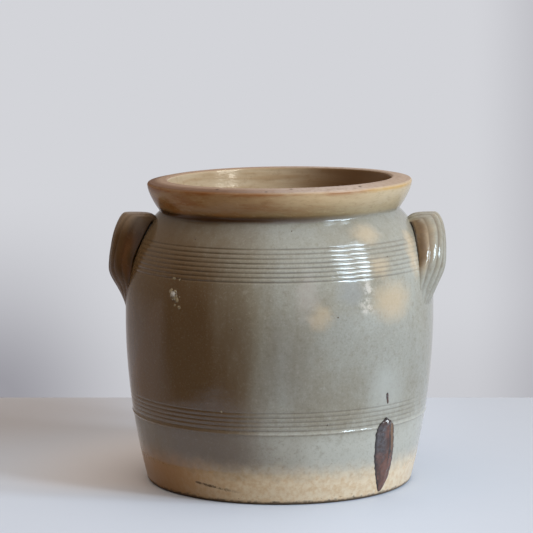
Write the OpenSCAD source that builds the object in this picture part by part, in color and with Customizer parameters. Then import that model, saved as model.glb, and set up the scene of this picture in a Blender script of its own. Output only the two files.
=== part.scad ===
// Stoneware confit pot: a wheel-thrown storage jar with a flat base, a full
// belly, a flared collar and two fluted strap handles luted to its shoulder.
// Millimetres, +Z up. The origin is the centre of the base, on the table.
// -Y is the front, and the handles stand to either side along X.

/* [Body] */
// Height to the top of the rim
pot_h = 230; // [180:1:300]
// Diameter where the wall meets the base, before its edge is rounded
foot_d = 200; // [160:1:225]
// Diameter at the widest part of the belly
belly_d = 232.6; // [215:0.2:300]
// Height of the widest part above the base
belly_z = 125; // [95:1:150]
// Diameter in the crease under the collar
neck_d = 180; // [150:1:200]
// Thickness of the thrown wall, measured level
wall_t = 9.5; // [6:0.5:14]
// Thickness of the floor
floor_t = 11; // [7:0.5:18]
// Radius of the worn edge around the base
foot_round = 3.2; // [1:0.1:6]
// Radius of the corner between floor and wall inside
inside_round = 22; // [8:1:40]
// How long the wall stays full before it turns in at the shoulder
shoulder_fullness = 3.2; // [2.4:0.1:4]
// How long the wall stays full before it draws in to the base
foot_fullness = 2; // [1.5:0.1:3]

/* [Collar] */
// Height of the collar above the crease
collar_h = 25; // [16:0.5:36]
// Diameter over the outer edge of the rim
rim_d = 199; // [186:0.5:220]
// Diameter of the mouth at the inner edge of the rim
mouth_d = 168; // [150:0.5:174]
// Drop of the rim band from its inner edge to its outer edge
rim_drop = 4; // [1:0.1:8]
// Radius on both edges of the rim band
rim_round = 2.2; // [1:0.1:4]
// How soon the collar flares out above the crease
collar_flare = 1.5; // [1:0.1:2.5]

/* [Combed bands] */
// Number of lines in the band on the shoulder
upper_lines = 8; // [2:1:10]
// Distance between lines in the band on the shoulder
upper_pitch = 3.4; // [2.4:0.1:4]
// Drop from the crease to the first line on the shoulder
upper_drop = 17; // [12:0.5:26]
// Number of lines in the band above the base
lower_lines = 5; // [2:1:9]
// Distance between lines in the band above the base
lower_pitch = 3.2; // [2.4:0.1:4]
// Height of the lowest line in the band above the base
lower_z = 57; // [40:0.5:80]
// Depth of each combed line
line_depth = 0.9; // [0.3:0.1:1.5]
// Radius of the burr that the comb threw up below its lowest line
burr_r = 0.8; // [0.3:0.1:1.5]

/* [Handles] */
// Width of the strap
handle_w = 43; // [30:0.5:52]
// Width of the pinched root on the shoulder
root_w = 26; // [14:0.5:30]
// Width of the smeared tail where it begins to round off
tail_w = 26; // [14:0.5:30]
// Height from the end of the tail to the top of the strap
handle_h = 76; // [66:1:86]
// Drop from the crease to the top of the strap
handle_drop = 1; // [0:0.1:6]
// How far the strap stands out past the belly
handle_reach = 10.5; // [7:0.5:16]
// Thickness of the arm that carries the strap out from the shoulder
arm_t = 7; // [5:0.5:11]
// Gap of the slot between the wall and the strap, under the arm
slot_gap = 2.5; // [1.5:0.1:5]
// How far the fluted face is crowned from its two edges to its middle
crown = 7.5; // [2:0.5:9]
// Degrees that each handle is set forward of the diameter
handle_turn = 8; // [0:0.5:20]
// Degrees that each strap leans, to the same hand on both sides
handle_lean = 9; // [0:0.5:12]
// How far the left strap sagged before it set
left_sag = 7; // [0:0.5:10]
// Number of flutes drawn along the strap
flutes = 8; // [3:1:10]
// Depth of each flute
flute_depth = 0.9; // [0.2:0.1:1.6]

/* [Iron drip] */
// Length of the run of slag down the wall
drip_l = 53; // [20:1:70]
// Width of the run at its widest
drip_w = 20; // [8:0.5:30]
// Thickness of the run on the wall
drip_t = 1.4; // [0.6:0.1:3]
// Height of its lower tip above the base
drip_z = 3.5; // [3.5:0.5:20]
// Degrees around from the front to the run
drip_turn = 50; // [20:1:70]

/* [Hidden] */
$fn = 96;

foot_r = foot_d / 2;
belly_r = belly_d / 2;
neck_r = neck_d / 2;
rim_r = rim_d / 2;
mouth_r = mouth_d / 2;
neck_z = pot_h - collar_h;

// Steps along each curved stretch of the profile
wall_steps = 30;
collar_steps = 8;
edge_steps = 6;

// Centres of the two round edges of the rim, and the slope of the band between them
rim_in_z = pot_h - rim_round;
rim_out_z = rim_in_z - rim_drop;
band_slope = atan(rim_drop / (rim_r - mouth_r - 2 * rim_round));

// Radius of the outer wall at a height between the base and the crease
function wall_r(z) = z < belly_z
    ? belly_r - (belly_r - foot_r) * pow(1 - z / belly_z, foot_fullness)
    : belly_r - (belly_r - neck_r) * pow((z - belly_z) / (neck_z - belly_z), shoulder_fullness);

function lerp(a, b, t) = a + (b - a) * t;

function arc(centre, r, from, to, steps) =
    [for (i = [0:steps]) centre + r * [cos(lerp(from, to, i / steps)), sin(lerp(from, to, i / steps))]];

function bezier(p, t) =
    pow(1 - t, 3) * p[0] + 3 * pow(1 - t, 2) * t * p[1] + 3 * (1 - t) * t * t * p[2] + pow(t, 3) * p[3];

// Outer face from the base up to the inner edge of the rim, as radius and height
outer_face = concat(
    arc([wall_r(foot_round) - foot_round, foot_round], foot_round, -90, 0, edge_steps),
    [for (i = [1:wall_steps]) let (z = lerp(foot_round, neck_z, i / wall_steps)) [wall_r(z), z]],
    [for (i = [1:collar_steps - 1])
        let (t = i / collar_steps)
        [rim_r - (rim_r - neck_r) * pow(1 - t, collar_flare), lerp(neck_z, rim_out_z, t)]],
    arc([rim_r - rim_round, rim_out_z], rim_round, 0, 90 - band_slope, edge_steps));

// Inner face from the rim down to the middle of the floor
throat_r = neck_r - wall_t;
corner_z = floor_t + inside_round;
inner_face = concat(
    arc([mouth_r + rim_round, rim_in_z], rim_round, 90 - band_slope, 180, edge_steps),
    [for (i = [1:collar_steps])
        let (t = 1 - i / collar_steps)
        [throat_r + (mouth_r - throat_r) * pow(t, collar_flare), lerp(neck_z, rim_in_z, t)]],
    [for (i = [1:wall_steps]) let (z = lerp(neck_z, corner_z, i / wall_steps)) [wall_r(z) - wall_t, z]],
    arc([wall_r(corner_z) - wall_t - inside_round, corner_z], inside_round, -10, -90, edge_steps),
    [[0, floor_t]]);

// Heights of the combed lines, from the lowest up
comb_heights = concat(
    [for (i = [0:lower_lines - 1]) lower_z + i * lower_pitch],
    [for (i = [0:upper_lines - 1]) neck_z - upper_drop - i * upper_pitch]);

// The pot as one solid block, without its hollow or its combing. What sits on the wall is cut to it.
module pot_form() {
    rotate_extrude() polygon(concat([[0, 0]], outer_face, [[0, pot_h - rim_round]]));
}

// The thrown pot: wall, floor and collar are one piece, hollow, and open at the top
module pot_body() {
    color("#9a9788")
    rotate_extrude()
    difference() {
        union() {
            polygon(concat([[0, 0]], outer_face, inner_face));
            translate([wall_r(lower_z - lower_pitch), lower_z - lower_pitch]) circle(r = burr_r);
        }
        for (z = comb_heights)
            translate([wall_r(z), z]) circle(r = line_depth, $fn = 4);
    }
}

// Shares that shape the strap: how far down its height the knuckle is, how far out the crest is, how far
// down the arm its root is, how much of a sag goes outward, and how much of its end the tail loses
knuckle_share = 0.445;
crest_share = 0.55;
root_share = 0.55;
sag_share = 0.3;
tail_share = 0.9;

// Side view of the strap in its own plane: radius from the pot's axis, and height
strap_top = neck_z - handle_drop;
strap_out = belly_r + handle_reach;
arm_z = strap_top - arm_t;
knuckle_z = strap_top - handle_h * knuckle_share;
tail_z = strap_top - handle_h;

// How deep the strap is sunk in the wall before it is cut, and how thick the tail is at its heel
seat_sink = 5;
tail_skin = 1.5;

// How far the strap runs on before and after each turn
root_run = 3;
crest_run = 7;
slot_run = 10;
face_run = 22;
heel_run = 18;

// Outer line of the strap: out from its root, over the arm, down the front, in along the tail.
// A strap that sagged is fuller and lower at its knuckle.
root_z = strap_top - arm_t * root_share;
root = [wall_r(root_z), root_z];
crest = [lerp(wall_r(arm_z), strap_out, crest_share), strap_top];
crest_turn = [strap_out - root_run, strap_top];
heel = [wall_r(tail_z + heel_run) + tail_skin, tail_z + heel_run];
tail = [wall_r(tail_z) - seat_sink / 2, tail_z];
function knuckle(sag) = [strap_out + sag * sag_share, knuckle_z - sag];
function outer_line(sag) = [
    [root - [seat_sink, 0], root + [root_run, root_run / 2], crest - [crest_run, 0], crest],
    [crest, crest_turn, knuckle(sag) + [0, face_run], knuckle(sag)],
    [knuckle(sag), knuckle(sag) - [0, heel_run - sag], heel, tail]];

// Inner line of the strap: sunk in the shoulder, out under the arm, down beside the wall, along the seat
shoulder_seat = [wall_r(arm_z) - seat_sink, arm_z - root_run];
under_arm = [wall_r(arm_z) + slot_gap / 2, arm_z];
slot_top = [wall_r(arm_z) + slot_gap + root_run, arm_z];
slot_z = arm_z - slot_run;
slot_low = [wall_r(slot_z) + slot_gap * 1.5, slot_z];
belly_seat = [wall_r(knuckle_z) - seat_sink / 2, knuckle_z];
tail_seat = [wall_r(tail_z) - seat_sink, tail_z];
function straight(from, to) = [from, lerp(from, to, 0.3), lerp(from, to, 0.7), to];
inner_line = [
    straight(shoulder_seat, under_arm),
    [under_arm, slot_top, slot_low, belly_seat],
    straight(belly_seat, tail_seat)];

// The strap widens from its pinched root and narrows to a rounded tail
function half_w(stretch, t) = stretch == 0
    ? lerp(root_w, handle_w, sin(90 * t)) / 2
    : stretch == 1
    ? handle_w / 2
    : lerp(handle_w, tail_w, t) / 2 * sqrt(1 - tail_share * pow(t, 5));

// The crown and the flutes rise out of the root and fade out along the tail
function fade(stretch, t) = stretch == 0 ? t : stretch == 1 ? 1 : 1 - t;

// Steps along each stretch and across each flute, the degrees of arc that space the flutes closer at
// the edges, and the least share of its thickness that the strap keeps there
strap_steps = 8;
flute_steps = 4;
face_steps = flutes * flute_steps;
face_sweep = 60;
edge_share = 0.4;

// One cross-section of the strap: a back and a crowned, fluted face that both bend round the pot
function section(stretch, t, sag) =
    let (
        outer = bezier(outer_line(sag)[stretch], t),
        inner = bezier(inner_line[stretch], t),
        thick = norm(outer - inner),
        out = (outer - inner) / thick,
        face = [for (i = [0:face_steps])
            let (
                v = sin(lerp(-face_sweep, face_sweep, i / face_steps)) / sin(face_sweep),
                groove = flute_depth * (1 - cos(360 * i / flute_steps)) / 2,
                drop = (crown * v * v + groove) * fade(stretch, t))
            [inner + out * max(thick - drop, thick * edge_share), v]])
    [for (p = concat([[inner, -1]], face, [[inner, 1]]))
        let (y = p[1] * half_w(stretch, t) + (p[0][1] - knuckle_z) * tan(handle_lean))
        [p[0][0] - y * y / (2 * wall_r(knuckle_z)), y, p[0][1]]];

// The strap as a skin over its cross-sections, closed by a flat fan at each end
ring_n = face_steps + 3;
module strap(sag) {
    rings = [for (stretch = [0:2], i = [(stretch == 0 ? 0 : 1):strap_steps])
        section(stretch, i / strap_steps, sag)];
    last = len(rings) - 1;
    sides = [for (k = [0:last - 1], i = [0:ring_n - 1])
        let (
            a = k * ring_n + i,
            b = k * ring_n + (i + 1) % ring_n)
        each [[a, b, a + ring_n], [b, b + ring_n, a + ring_n]]];
    ends = [for (i = [1:ring_n - 2])
        each [[0, i + 1, i], [last * ring_n, last * ring_n + i, last * ring_n + i + 1]]];
    polyhedron([for (ring = rings) each ring], concat(sides, ends));
}

// A strap turned to its place round the pot, with its back and its two ends cut to sit on the wall
module seated_strap(turn, sag) {
    difference() {
        rotate([0, 0, turn]) strap(sag);
        pot_form();
    }
}

module right_handle() {
    color("#a39b88") seated_strap(-handle_turn, 0);
}

module left_handle() {
    color("#857b68") seated_strap(180 + handle_turn, left_sag);
}

// The run of iron slag: a skin on the wall, leaf-shaped, blunt at the top and pointed at the foot.
// The skin runs past both ends of the leaf that it is trimmed to.
leaf_steps = 18;
skin_steps = 11;
trim = 2;

// Half the width of the leaf, with its widest part above the middle and full sides
leaf_high = 0.75;
leaf_full = 0.8;
function drip_half(s) = drip_w / 2 * pow(sin(180 * pow(s, leaf_high)), leaf_full);
drip_side = [for (i = [0:leaf_steps])
    let (s = i / leaf_steps)
    [drip_half(s), drip_z + drip_l * (1 - s)]];
drip_leaf = concat(drip_side, [for (i = [leaf_steps - 1:-1:1]) [-drip_side[i][0], drip_side[i][1]]]);
drip_skin = [for (i = [0:skin_steps])
    let (z = lerp(drip_z - trim, drip_z + drip_l + trim, i / skin_steps))
    [wall_r(z) + drip_t, z]];
drip_core = [[foot_r / 2, drip_z + drip_l + trim], [foot_r / 2, drip_z - trim]];

module iron_drip() {
    color("#3a2a26")
    difference() {
        intersection() {
            rotate_extrude() polygon(concat(drip_core, drip_skin));
            rotate([90, 0, drip_turn])
                linear_extrude(belly_d)
                polygon(drip_leaf);
        }
        pot_form();
    }
}

pot_body();
left_handle();
right_handle();
iron_drip();
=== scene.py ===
import math

import bmesh
import bpy
from mathutils import Matrix, Vector, noise


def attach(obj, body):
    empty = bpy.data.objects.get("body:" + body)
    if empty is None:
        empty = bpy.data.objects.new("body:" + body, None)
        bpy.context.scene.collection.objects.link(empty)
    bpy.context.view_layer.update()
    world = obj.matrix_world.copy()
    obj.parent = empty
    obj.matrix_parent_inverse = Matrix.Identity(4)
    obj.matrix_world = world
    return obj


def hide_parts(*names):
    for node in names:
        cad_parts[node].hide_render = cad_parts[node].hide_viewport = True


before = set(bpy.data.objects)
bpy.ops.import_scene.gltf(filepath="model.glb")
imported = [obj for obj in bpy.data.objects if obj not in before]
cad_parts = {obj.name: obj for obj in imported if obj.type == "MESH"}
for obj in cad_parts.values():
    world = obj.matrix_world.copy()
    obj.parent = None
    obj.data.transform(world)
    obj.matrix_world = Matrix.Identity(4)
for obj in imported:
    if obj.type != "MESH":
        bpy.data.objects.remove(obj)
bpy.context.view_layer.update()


# Body. A stoneware jar thrown on the wheel in one piece: floor, wall, shoulder and flared collar.
# It was combed in two bands while it turned. The kiln's salt made the glaze; rim and foot were wiped bare.
HEIGHT = 0.230
FOOT_RADIUS = 0.100
BELLY_RADIUS = 0.1163
BELLY_HEIGHT = 0.125
CREASE_RADIUS = 0.090
CREASE_HEIGHT = 0.205
RIM_RADIUS = 0.0995
MOUTH_RADIUS = 0.084
WALL = 0.0095
FLOOR = 0.011
RIM_TOP = 0.2287
RIM_DROP = 0.0015
RIM_ROUND = 0.0022
FOOT_ROUND = 0.0032
INSIDE_ROUND = 0.022
UPPER_COMB = [0.1865 - 0.0032 * line for line in range(8)]
LOWER_COMB = [0.0562 + 0.0033 * line for line in range(5)]
COMB_TOOTH = 0.00052
COMB_SWELL = 0.00006
LOWER_COMB_DEPTH = 0.6
BURR_HEIGHT, BURR_RISE, BURR_WIDTH = 0.0537, 0.00066, 0.0008
WALL_ROWS = ((0.0042, 0.0500, 15), (0.0512, 0.0718, 50), (0.0745, 0.1600, 27), (0.1615, 0.1900, 68),
             (0.1915, CREASE_HEIGHT - 0.0006, 10))
RIM_CROWN = 0.0007
RIM_SINK = 0.0004
FOOT_LINE = 0.0235
TOP_LEAN = 0.016
STRAP_TURN = 8.0
WELD = 0.00001


def wall_radius(height):
    """Outer radius of the thrown wall, from the base up to the crease under the collar."""
    if height < BELLY_HEIGHT:
        return BELLY_RADIUS - (BELLY_RADIUS - FOOT_RADIUS) * (1 - height / BELLY_HEIGHT) ** 2
    rise = (height - BELLY_HEIGHT) / (CREASE_HEIGHT - BELLY_HEIGHT)
    return BELLY_RADIUS - (BELLY_RADIUS - CREASE_RADIUS) * rise ** 3.2


def spread(low, high, count):
    """Evenly spaced values from low to high, both ends included."""
    return [low + (high - low) * step / (count - 1) for step in range(count)]


def bell(value, middle, width):
    """1 at the middle of a soft bump, falling to 0 a few widths away."""
    return math.exp(-(((value - middle) / width) ** 2))


def comb_mark(height):
    """Depth of the comb's cut at a height, from 0 to 1, and the swelling of the clay beside the cuts."""
    cut = sum(bell(height, line, COMB_TOOTH) for line in UPPER_COMB)
    cut += LOWER_COMB_DEPTH * sum(bell(height, line, COMB_TOOTH) for line in LOWER_COMB)
    swell = BURR_RISE * bell(height, BURR_HEIGHT, BURR_WIDTH)
    for lines in (sorted(UPPER_COMB), LOWER_COMB):
        for below, above in zip(lines, lines[1:]):
            if below < height < above:
                swell = COMB_SWELL * (1 - (2 * (height - below) / (above - below) - 1) ** 2)
    return min(cut, 1.0), swell


def arc(radius, height, size, start, end, count):
    """Angle in degrees, radius and height of points along a rounding about a middle."""
    for angle in spread(start, end, count):
        turn = math.radians(angle)
        yield angle, radius + size * math.cos(turn), height + size * math.sin(turn)


def thrown_profile():
    """The jar's section, from the middle of the base round to the middle of the floor inside.

    Its rows hold radius, height, comb cut, bare clay, inside and lip.
    """
    rows = []

    def add(radius, height, cut=0.0, bare=0.0, inside=0.0, lip=0.0):
        rows.append((radius, height, cut, bare, inside, lip))

    for radius in spread(0.0, FOOT_RADIUS - FOOT_ROUND, 6):
        add(radius, 0.0, bare=1.0)
    for _, radius, height in arc(wall_radius(FOOT_ROUND) - FOOT_ROUND, FOOT_ROUND, FOOT_ROUND, -75, -8, 5):
        add(radius, height, bare=1.0)
    for stretch in WALL_ROWS:
        for height in spread(*stretch):
            cut, swell = comb_mark(height)
            add(wall_radius(height) + swell, height, cut=cut)
    edge = RIM_TOP - RIM_ROUND - RIM_DROP
    for share in spread(0.03, 1.0, 9):
        radius = RIM_RADIUS - (RIM_RADIUS - CREASE_RADIUS) * (1 - share) ** 1.5
        add(radius, CREASE_HEIGHT + (edge - CREASE_HEIGHT) * share, lip=share ** 18)
    outer, inner = RIM_RADIUS - RIM_ROUND, MOUTH_RADIUS + RIM_ROUND
    for angle, radius, height in arc(outer, edge, RIM_ROUND, 12, 96, 7):
        add(radius, height, bare=min(1.0, angle / 60), lip=max(0.0, 1 - angle / 50))
    for share in spread(0.12, 0.9, 7):
        crown = RIM_CROWN * (1 - (2 * share - 1) ** 2)
        add(outer + (inner - outer) * share, RIM_TOP - RIM_DROP * (1 - share) + crown - RIM_SINK, bare=1.0)
    for angle, radius, height in arc(inner, RIM_TOP - RIM_ROUND, RIM_ROUND, 96, 180, 6):
        left = 180 - angle
        add(radius, height, bare=min(1.0, left / 50), inside=1 - min(1.0, left / 70))
    throat = CREASE_RADIUS - WALL
    for share in spread(0.1, 1.0, 8):
        add(MOUTH_RADIUS + (throat - MOUTH_RADIUS) * share,
            RIM_TOP - RIM_ROUND + (CREASE_HEIGHT - RIM_TOP + RIM_ROUND) * share, inside=1.0)
    for height in spread(CREASE_HEIGHT - 0.005, FLOOR + INSIDE_ROUND, 24):
        add(wall_radius(height) - WALL, height, inside=1.0)
    corner = wall_radius(FLOOR + INSIDE_ROUND) - WALL - INSIDE_ROUND
    for _, radius, height in arc(corner, FLOOR + INSIDE_ROUND, INSIDE_ROUND, -12, -90, 7):
        add(radius, height, inside=1.0)
    for radius in spread(corner * 0.8, 0.0, 5):
        add(radius, FLOOR, inside=1.0)
    return rows


class Wire:
    """One output socket of a node tree. Arithmetic on it adds Math nodes to that tree."""

    def __init__(self, socket):
        self.socket = socket

    def math(self, operation, *others):
        """A Math node that takes this value first, then the others."""
        inputs = dict(enumerate((self, *others)))
        return tap(self.socket.id_data, "ShaderNodeMath", inputs, operation=operation)

    def __add__(self, other):
        return self.math("ADD", other)

    def __sub__(self, other):
        return self.math("SUBTRACT", other)

    def __mul__(self, other):
        return self.math("MULTIPLY", other)

    def __truediv__(self, other):
        return self.math("DIVIDE", other)


def plug(value, slot):
    """Links a wire to an input socket, or sets the socket to a plain value."""
    if isinstance(value, Wire):
        slot.id_data.links.new(value.socket, slot)
    else:
        slot.default_value = value


def lay(tree, kind, inputs=None, **settings):
    """Adds a node, with its settings and the wires or values of its inputs, by name or number."""
    node = tree.nodes.new(kind)
    for name, value in settings.items():
        setattr(node, name, value)
    for name, value in (inputs or {}).items():
        plug(value, node.inputs[name])
    return node


def tap(tree, kind, inputs=None, output=0, **settings):
    """Adds a node as lay does, and returns the wire from one of its outputs."""
    return Wire(lay(tree, kind, inputs, **settings).outputs[output])


def faded(tree, value, low, high, start=0.0, end=1.0):
    """A wire that eases from start to end while a value goes from low to high."""
    return tap(tree, "ShaderNodeMapRange", {
        "Value": value, "From Min": low, "From Max": high, "To Min": start, "To Max": end},
        interpolation_type="SMOOTHSTEP")


def node_tree(name, kinds, result):
    """A new Geometry Nodes tree with named inputs and one output, and the wires from its inputs."""
    tree = bpy.data.node_groups.new(name, "GeometryNodeTree")
    for title, kind in kinds.items():
        tree.interface.new_socket(name=title, in_out="INPUT", socket_type="NodeSocket" + kind)
    tree.interface.new_socket(name=result, in_out="OUTPUT", socket_type="NodeSocketGeometry")
    entry = tree.nodes.new("NodeGroupInput")
    return tree, {title: Wire(entry.outputs[title]) for title in kinds}


def stored(tree, name):
    """A value that the mesh keeps at its points, for a Geometry Nodes tree."""
    return tap(tree, "GeometryNodeInputNamedAttribute", {"Name": name}, "Attribute", data_type="FLOAT")


def wheel_tree():
    """Geometry Nodes that turn a section about the pot's axis and add the unevenness of hand throwing."""
    tree, given = node_tree("throw_on_the_wheel", {
        "Section": "Geometry", "Facets": "Int", "Out of round": "Float", "Throwing rings": "Float",
        "Comb depth": "Float", "Comb waver": "Float", "Handle turn": "Float", "Top lean": "Float",
        "Rim wave": "Float", "Seed": "Float",
        "Glaze": "Material", "Collar": "Material", "Foot": "Material", "Lining": "Material"}, "Jar")
    facets, seed = given["Facets"], given["Seed"]

    rings = tap(tree, "GeometryNodeAttributeDomainSize", {"Geometry": given["Section"]}, "Point Count",
                component="MESH")
    sheet = lay(tree, "GeometryNodeMeshGrid", {
        "Size X": rings - 1, "Size Y": facets, "Vertices X": rings, "Vertices Y": facets + 1})
    here = tap(tree, "GeometryNodeInputPosition")
    spot = lay(tree, "ShaderNodeSeparateXYZ", {"Vector": here})
    ring = ((Wire(spot.outputs["X"]) + (rings - 1) * 0.5) + 0.25).math("FLOOR")
    turn = (Wire(spot.outputs["Y"]) / facets + 0.5) * math.tau

    def from_section(field, kind):
        inputs = {"Geometry": given["Section"], "Value": field, "Index": ring}
        return tap(tree, "GeometryNodeSampleIndex", inputs, "Value", data_type=kind, domain="POINT")

    outline = lay(tree, "ShaderNodeSeparateXYZ", {"Vector": from_section(here, "FLOAT_VECTOR")})
    radius, height = Wire(outline.outputs["X"]), Wire(outline.outputs["Z"])
    side, back = turn.math("SINE"), turn.math("COSINE")

    def uneven(girth, rise, scale, detail):
        place = tap(tree, "ShaderNodeCombineXYZ", {"X": side * girth, "Y": back * girth, "Z": height * rise})
        wave = tap(tree, "ShaderNodeTexNoise", {"Vector": place, "W": seed, "Scale": scale, "Detail": detail},
                   noise_dimensions="4D")
        return (wave - 0.5) * 2.0

    swell = uneven(0.11, 1.0, 7.0, 1.0) * given["Out of round"]
    swell = swell + uneven(0.012, 1.0, 190.0, 2.0) * given["Throwing rings"]
    forward = given["Handle turn"]
    facing = side.math("ABSOLUTE") * forward.math("COSINE") - back * forward.math("SINE")
    beside_strap = faded(tree, facing, 0.93, 0.975, 1.0, 0.25)
    wander = uneven(0.09, 5.0, 34.0, 3.0) * given["Comb waver"] + 1.0
    cut = from_section(stored(tree, "cut"), "FLOAT") * beside_strap * wander
    radius = radius * (swell + 1.0) - cut * given["Comb depth"]
    share = height / HEIGHT
    height = height + radius * side * given["Top lean"] * share
    height = height + uneven(0.1, 0.0, 9.0, 1.0) * given["Rim wave"] * share.math("POWER", 8.0)
    place = tap(tree, "ShaderNodeCombineXYZ", {"X": radius * side, "Y": radius * back, "Z": height})

    shape = tap(tree, "GeometryNodeStoreNamedAttribute", {
        "Geometry": Wire(sheet.outputs["Mesh"]), "Name": "UVMap", "Value": Wire(sheet.outputs["UV Map"])},
        data_type="FLOAT2", domain="CORNER")
    marks = {name: from_section(stored(tree, name), "FLOAT") for name in ("bare", "inside", "lip")}
    for name, value in {"cut": cut, **marks}.items():
        shape = tap(tree, "GeometryNodeStoreNamedAttribute", {
            "Geometry": shape, "Name": name, "Value": value}, data_type="FLOAT", domain="POINT")
    shape = tap(tree, "GeometryNodeSetPosition", {"Geometry": shape, "Position": place})
    shape = tap(tree, "GeometryNodeMergeByDistance", {"Geometry": shape, "Distance": WELD})
    shape = tap(tree, "GeometryNodeSetShadeSmooth", {0: shape})
    shape = tap(tree, "GeometryNodeRealizeInstances", {"Geometry": shape})
    level = lay(tree, "ShaderNodeSeparateXYZ", {"Vector": here})
    aside, upward = Wire(level.outputs["X"]), Wire(level.outputs["Z"])
    coats = {
        "Glaze": True,
        "Collar": (upward - aside * given["Top lean"]).math("GREATER_THAN", CREASE_HEIGHT),
        "Foot": upward.math("LESS_THAN", FOOT_LINE),
        "Lining": stored(tree, "inside").math("GREATER_THAN", 0.5)}
    for coat, where in coats.items():
        shape = tap(tree, "GeometryNodeSetMaterial", {
            "Geometry": shape, "Selection": where, "Material": given[coat]})
    plug(shape, tree.nodes.new("NodeGroupOutput").inputs["Jar"])
    return tree


def stand(name, data):
    """A new object in the scene that holds a mesh, a lamp or a camera."""
    made = bpy.data.objects.new(name, data)
    bpy.context.scene.collection.objects.link(made)
    return made


def grown(name, start, tree, values):
    """Runs a Geometry Nodes tree on a starting mesh and returns an object that holds the plain result."""
    piece = stand(name, start)
    modifier = piece.modifiers.new(tree.name, "NODES")
    modifier.node_group = tree
    for item in tree.interface.items_tree:
        if item.in_out == "INPUT" and item.name in values:
            modifier[item.identifier] = values[item.name]
    made = bpy.data.meshes.new_from_object(piece.evaluated_get(bpy.context.evaluated_depsgraph_get()))
    piece.modifiers.clear()
    piece.data = made
    made.name = name
    return piece


def srgb(red, green, blue):
    """A colour written in 0 to 255, as the linear values that a shader takes."""
    parts = [part / 255 for part in (red, green, blue)]
    return tuple(p / 12.92 if p <= 0.04045 else ((p + 0.055) / 1.055) ** 2.4 for p in parts) + (1.0,)


def mixed(tree, share, under, over):
    """The colour under, covered by a share of the colour over."""
    return tap(tree, "ShaderNodeMix", {0: share, 6: under, 7: over}, 2, data_type="RGBA")


class Finish:
    """A procedural material under way: its tree, its place on the object and the usual mixing nodes."""

    def __init__(self, name):
        self.material = bpy.data.materials.new(name)
        self.material.use_nodes = True
        self.tree = self.material.node_tree
        self.shader = self.tree.nodes["Principled BSDF"]
        self.place = tap(self.tree, "ShaderNodeTexCoord", output="Object")
        parts = lay(self.tree, "ShaderNodeSeparateXYZ", {"Vector": self.place})
        self.x, self.y, self.z = (Wire(parts.outputs[axis]) for axis in "XYZ")
        self.colour = None

    def noise(self, scale, detail=2.0, roughness=0.5, stretch=None, distortion=0.0):
        """A cloudy value about 0.5, finer as the scale grows."""
        place = self.place
        if stretch:
            place = tap(self.tree, "ShaderNodeMapping", {"Vector": place, "Scale": stretch})
        return tap(self.tree, "ShaderNodeTexNoise", {
            "Vector": place, "Scale": scale, "Detail": detail, "Roughness": roughness,
            "Distortion": distortion})

    def mark(self, name):
        """A value that the mesh stores at its points."""
        return tap(self.tree, "ShaderNodeAttribute", output="Fac", attribute_name=name)

    def fade(self, value, low, high):
        """0 to 1 while a value goes from low to high."""
        return faded(self.tree, value, low, high)

    def near(self, spot, radius, ragged, tall=1.0):
        """1 close to a spot on the surface, falling to 0 at a radius that a noise makes ragged."""
        away = tap(self.tree, "ShaderNodeVectorMath", {0: self.place, 1: spot}, operation="SUBTRACT")
        squash = (1.0, 1.0, 1 / tall)
        away = tap(self.tree, "ShaderNodeVectorMath", {0: away, 1: squash}, operation="MULTIPLY")
        away = tap(self.tree, "ShaderNodeVectorMath", {0: away}, "Value", operation="LENGTH")
        return self.fade(away + ragged, radius, radius * 0.2)

    def mix(self, share, under, over):
        """The colour under, covered by a share of the colour over."""
        return mixed(self.tree, share, under, over)

    def wash(self, share, over):
        """Covers a share of the finish's colour so far with another colour."""
        self.colour = self.mix(share, self.colour, over)

    def bump(self, height, strength, distance, under=None):
        """A relief for the shader, over another one where there is one."""
        inputs = {"Height": height, "Strength": strength, "Distance": distance}
        if under:
            inputs["Normal"] = under
        return tap(self.tree, "ShaderNodeBump", inputs)

    def coat(self, roughness, normal, **constants):
        """Gives the shader its colour, roughness, relief and plain values, and returns the material."""
        plug(self.colour, self.shader.inputs["Base Color"])
        plug(roughness, self.shader.inputs["Roughness"])
        plug(normal, self.shader.inputs["Normal"])
        for name, value in constants.items():
            self.shader.inputs[name.replace("_", " ")].default_value = value
        return self.material


def on_wall(turn, height):
    """The point of the wall at a turn in degrees from the front towards the right, and a height."""
    angle = math.radians(turn)
    radius = wall_radius(height)
    return (radius * math.sin(angle), -radius * math.cos(angle), height)


def on_rim(turn, radius):
    """The point of the rim band at a turn in degrees from the front towards the right, and a radius."""
    angle = math.radians(turn)
    x, y = radius * math.sin(angle), -radius * math.cos(angle)
    return (x, y, RIM_TOP - RIM_DROP * (radius - MOUTH_RADIUS) / (RIM_RADIUS - MOUTH_RADIUS) + TOP_LEAN * x)


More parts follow.
